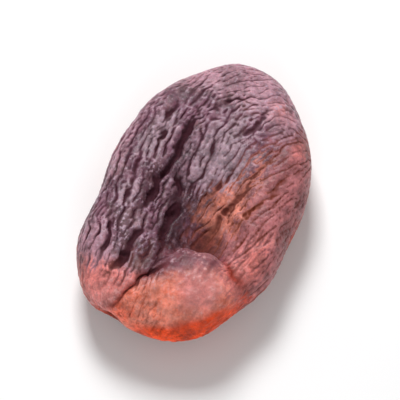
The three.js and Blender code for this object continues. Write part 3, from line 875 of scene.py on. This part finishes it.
def dried_skin(colours):
    """Dried, unsulphured apricot skin: plum, grey, brown, mauve, salmon and orange in patches
    with uneven edges, painted shade in the valleys, the long valley, the dimple and beside the
    crease, bloom and painted highlights on the crests and the rims, fine grain, and the red glow of
    translucent flesh."""
    material, tree, shader, place = new_material("dried_skin")
    uneven = uneven_edge_group()

    def times(first, second):
        return arithmetic(tree, "MULTIPLY", first, second)

    def plus(first, second):
        return arithmetic(tree, "ADD", first, second)

    def larger(first, second):
        return arithmetic(tree, "MAXIMUM", first, second)

    def without(share):
        return arithmetic(tree, "SUBTRACT", 1.0, share)

    def raw(name):
        return add_node(tree, "ShaderNodeAttribute", {}, attribute_name=name).outputs["Fac"]

    def noise(scale, detail=3.0, roughness=0.55):
        return add_node(tree, "ShaderNodeTexNoise", {
            "Vector": place, "Scale": scale, "Detail": detail, "Roughness": roughness}).outputs[0]

    def mask(name, patch_scale, amount, pushed=None):
        """A mask with an uneven edge, and pushed where it is half there."""
        value = raw(name)
        if pushed:
            value = plus(value, times(times(value, without(value)), pushed))
        return add_node(tree, "ShaderNodeGroup", {
            "Vector": place, "Mask": value, "Patch Scale": patch_scale, "Amount": amount,
        }, node_tree=uneven).outputs["Mask"]

    def over(share, below, above):
        return mixed(tree, share, below, rgba(above))

    # The pushes let a colour reach further along the valleys or along the crests.
    fine, broad = raw("fine_cavity"), raw("broad_cavity")
    sunken = arithmetic(tree, "SUBTRACT", plus(fine, broad), 1.0)
    to_valleys, to_crests = times(sunken, 2.5), times(sunken, -2.5)

    olive = remapped(tree, noise(260.0), 0.45, 0.7, 0.0, 0.6)
    plum = over(olive, rgba(colours.plum), colours.olive)
    # Painted shade: darker plum along the long valley
    plum = over(mask("deep", 600.0, 0.5, to_valleys), plum, colours.deep)
    colour = mixed(tree, mask("plum", 420.0, 0.9, to_crests), rgba(colours.mauve), plum)
    colour = over(mask("brown", 500.0, 0.9, to_valleys), colour, colours.brown)
    colour = over(times(mask("umber", 600.0, 0.5, to_valleys), 0.8), colour, colours.umber)
    # Pale skin, and painted highlights along the rims
    colour = over(mask("pale_and_rim_highlight", 380.0, 0.55, to_crests), colour, colours.pale_and_rim_highlight)
    colour = over(mask("ash", 450.0, 0.5, to_crests), colour, colours.ash)
    colour = over(mask("coral", 520.0, 0.6, to_crests), colour, colours.coral)
    mottles = remapped(tree, noise(750.0, 4.0, 0.65), 0.44, 0.66, 0.0, 0.7)
    lip_colour = over(mottles, rgba(colours.salmon), colours.amber)
    colour = mixed(tree, mask("peach", 500.0, 0.6, to_crests), colour, lip_colour)
    # The lip's pink middle, partly painted light, and painted highlights on the rim
    colour = over(mask("blush_and_highlight", 700.0, 0.6), colour, colours.blush_and_highlight)
    colour = over(mask("fold", 800.0, 0.8), colour, colours.fold)
    colour = over(times(raw("seam"), 0.9), colour, colours.russet)
    deeper = remapped(tree, noise(240.0, 5.0, 0.6), 0.42, 0.66, 0.0, 0.75)
    flank = over(deeper, rgba(colours.rust), colours.russet)
    colour = mixed(tree, mask("flank", 220.0, 0.55, to_crests), colour, flank)
    below_lip = over(times(deeper, 0.6), rgba(colours.orange), colours.russet)
    colour = mixed(tree, mask("orange", 240.0, 0.7), colour, below_lip)
    colour = over(mask("under", 180.0, 1.2), colour, colours.russet)
    # Painted shade at the dimple's bottom
    colour = over(times(raw("dimple_shade"), 0.85), colour, colours.dimple_shade)
    # Painted shadow beside the crease, in the furrow colour
    colour = over(times(raw("shade"), 0.75), colour, colours.furrow)

    # Small mottles and broad blotches, weaker on the lip
    mottle = remapped(tree, noise(1000.0, 5.0, 0.75), 0.3, 0.7, 0.62, 1.38)
    blotch = remapped(tree, noise(340.0, 3.0, 0.5), 0.34, 0.64, 0.76, 1.18)
    uneven_share = without(times(raw("lip"), 0.4))
    colour = mixed(tree, uneven_share, colour, times(mottle, blotch), "MULTIPLY")

    # Bloom and painted highlights, as specks on the crests, most on the plum skin and least on bare
    # flesh
    crest = remapped(tree, fine, 0.5, 0.1, 0.0, 0.5)
    crest = plus(crest, remapped(tree, broad, 0.5, 0.15, 0.0, 0.5))
    glint_specks = remapped(tree, noise(1800.0, 3.0, 0.6), 0.48, 0.66, 0.0, 1.3)
    dust_and_sheen = remapped(tree, noise(330.0), 0.35, 0.7, 0.0, 0.6)
    bloom_and_glints = times(crest, plus(glint_specks, dust_and_sheen))
    bloom_and_glint_share = plus(times(raw("plum"), 0.5), 0.15)
    bloom_and_glint_share = plus(times(raw("blush_and_highlight"), 0.6), bloom_and_glint_share)
    bloom_and_glint_share = plus(times(larger(raw("peach"), raw("brown")), 0.2), bloom_and_glint_share)
    bare = larger(raw("dimple_shade"), larger(raw("flank"), raw("orange")))
    bare = larger(bare, times(larger(raw("deep"), raw("umber")), 0.8))
    bloom_and_glint_colour = mixed(tree, raw("plum"), rgba(colours.glint), rgba(colours.bloom_and_glints))
    colour = mixed(tree, times(bloom_and_glints, times(bloom_and_glint_share, without(bare))), colour, bloom_and_glint_colour)

    # Painted shade in the valleys, from how sunken the skin is, and in the deep furrows
    valley_shade = remapped(tree, fine, 0.53, 0.95, 0.0, 0.65)
    valley_shade = larger(valley_shade, remapped(tree, broad, 0.5, 0.9, 0.0, 0.95))
    for name, none, full, left in VALLEY_SHADE_LEFT:
        valley_shade = times(valley_shade, remapped(tree, raw(name), none, full, 1.0, left))
    valley_shade = larger(valley_shade, remapped(tree, raw("furrow"), 0.35, 1.0, 0.0, 0.8))
    # The painted shade's colour: the furrow colour on the plum skin and the slit colour elsewhere
    floor = mixed(tree, raw("plum"), rgba(colours.slit), rgba(colours.furrow))
    colour = mixed(tree, valley_shade, colour, floor)

    gloss = remapped(tree, noise(700.0, 4.0), 0.3, 0.7, 0.26, 0.42)
    roughness = plus(gloss, times(larger(valley_shade, raw("dimple_shade")), 0.5))
    grain = plus(noise(1900.0, 4.0, 0.6), times(noise(6000.0, 2.0), 0.4))
    bump = add_node(
        tree, "ShaderNodeBump", {"Strength": 0.7, "Distance": 0.14 * MM, "Height": grain})
    set_inputs(shader, {
        "Base Color": colour, "Roughness": roughness, "Normal": bump.outputs[0],
        "Subsurface Weight": 0.14, "Subsurface Radius": (1.0, 0.3, 0.15),
        "Subsurface Scale": 0.6 * MM, "IOR": 1.46, "Specular IOR Level": 0.22})
    return material


def plain_paper():
    """A white paper material with the faintest mottling."""
    material, tree, shader, place = new_material("white_paper")
    noise = add_node(tree, "ShaderNodeTexNoise", {"Vector": place, "Scale": 40.0, "Detail": 2.0})
    shade = mixed(tree, noise.outputs[0], (0.90, 0.90, 0.905, 1), (0.93, 0.93, 0.93, 1))
    set_inputs(shader, {"Base Color": shade, "Roughness": 0.9, "Specular IOR Level": 0.1})
    return material


class MakeFruit(bpy.types.Operator):
    """Make the dried apricot's skin in the CAD solid's place"""

    bl_idname = "apricot.make_fruit"
    bl_label = "Make the fruit"

    def execute(self, context):
        settings = context.scene
        unit = directions()
        points, disc, masks = shrunken_skin(
            settings.apricot_form, settings.apricot_relief, unit)
        masks.update(colour_masks(disc, unit[..., 2]))
        mesh = skin_mesh("wrinkled_skin", fitted(points), masks)
        if len(mesh.vertices) != (RINGS - 1) * SEGMENTS + 2:
            raise RuntimeError("the skin's mesh lost corners")
        mesh.materials.append(dried_skin(settings.apricot_colours))
        fruit = bpy.data.objects.new("wrinkled_skin", mesh)
        context.collection.objects.link(fruit)
        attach(fruit, "root")
        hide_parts(NODE)
        return {"FINISHED"}


class MakeStudio(bpy.types.Operator):
    """Make the floor, the lights and the camera"""

    bl_idname = "apricot.make_studio"
    bl_label = "Make the studio"

    def execute(self, context):
        studio = context.scene.apricot_studio
        self.floor(context)
        self.surround(context, studio.surround)
        middle = Vector((CAD_LOW + CAD_HIGH) / 2)
        self.soft_light(context, "key_light", middle, KEY_PLACE, studio.key_power)
        self.soft_light(context, "fill_light", middle, FILL_PLACE, studio.fill_power)
        context.scene.camera = self.camera(context, studio, middle)
        context.scene.view_settings.view_transform = "Standard"
        return {"FINISHED"}

    def floor(self, context):
        """A flat square under the fruit."""
        mesh = bpy.data.meshes.new("paper_floor")
        corners = [(FLOOR_HALF * x, FLOOR_HALF * y, 0) for x, y in (
            (-1, -1), (1, -1), (1, 1), (-1, 1))]
        mesh.from_pydata(corners, [], [(0, 1, 2, 3)])
        mesh.materials.append(plain_paper())
        floor = bpy.data.objects.new("paper_floor", mesh)
        context.collection.objects.link(floor)

    def surround(self, context, brightness):
        """An even white world."""
        world = bpy.data.worlds.new("white_surround")
        world.use_nodes = True
        background = world.node_tree.nodes["Background"]
        set_inputs(background, {"Color": (1, 1, 1, 1), "Strength": brightness})
        context.scene.world = world

    def aimed(self, context, name, data, middle, away, distance):
        """An object that stands off from the fruit's middle and faces it."""
        thing = bpy.data.objects.new(name, data)
        thing.location = middle + away * distance
        thing.rotation_euler = (-away).to_track_quat("-Z", "Y").to_euler()
        context.collection.objects.link(thing)
        return thing

    def soft_light(self, context, name, middle, place, power):
        """A square area light."""
        towards, distance, size = place
        data = bpy.data.lights.new(name, "AREA")
        data.shape = "SQUARE"
        data.size = size
        data.energy = power
        self.aimed(context, name, data, middle, Vector(towards).normalized(), distance)

    def camera(self, context, studio, middle):
        """A camera at an azimuth and an elevation."""
        away = Vector((
            math.sin(studio.azimuth) * math.cos(studio.elevation),
            -math.cos(studio.azimuth) * math.cos(studio.elevation),
            math.sin(studio.elevation),
        ))
        data = bpy.data.cameras.new("camera")
        data.lens = data.sensor_width * studio.distance / studio.frame_width
        data.clip_start = 0.01
        return self.aimed(context, "camera", data, middle, away, studio.distance)


class ApricotPanel(bpy.types.Panel):
    """Sizes, colours and buttons of the dried apricot"""

    bl_idname = "VIEW3D_PT_dried_apricot"
    bl_label = "Dried apricot"
    bl_space_type = "VIEW_3D"
    bl_region_type = "UI"
    bl_category = "Apricot"

    def draw(self, context):
        layout = self.layout
        for group_name in SETTINGS:
            group = getattr(context.scene, group_name)
            box = layout.box()
            box.label(text=group.bl_rna.description)
            for name in group.bl_rna.properties.keys():
                if name not in ("rna_type", "name"):
                    box.prop(group, name)
        for operator in OPERATORS:
            layout.operator(operator.bl_idname)


SETTINGS = {
    "apricot_form": FruitForm,
    "apricot_relief": SkinRelief,
    "apricot_colours": SkinColours,
    "apricot_studio": Studio,
}
OPERATORS = (MakeFruit, MakeStudio)


def register():
    """Registers the classes and puts the settings on the scene."""
    for cls in (*SETTINGS.values(), *OPERATORS, ApricotPanel):
        bpy.utils.register_class(cls)
    for name, cls in SETTINGS.items():
        setattr(bpy.types.Scene, name, PointerProperty(type=cls))


def unregister():
    """Takes the settings off the scene and the classes out of Blender."""
    for name in SETTINGS:
        delattr(bpy.types.Scene, name)
    for cls in (ApricotPanel, *reversed(OPERATORS), *reversed(SETTINGS.values())):
        bpy.utils.unregister_class(cls)


def main():
    register()
    bpy.ops.apricot.make_fruit()
    bpy.ops.apricot.make_studio()


if __name__ == "__main__":
    main()
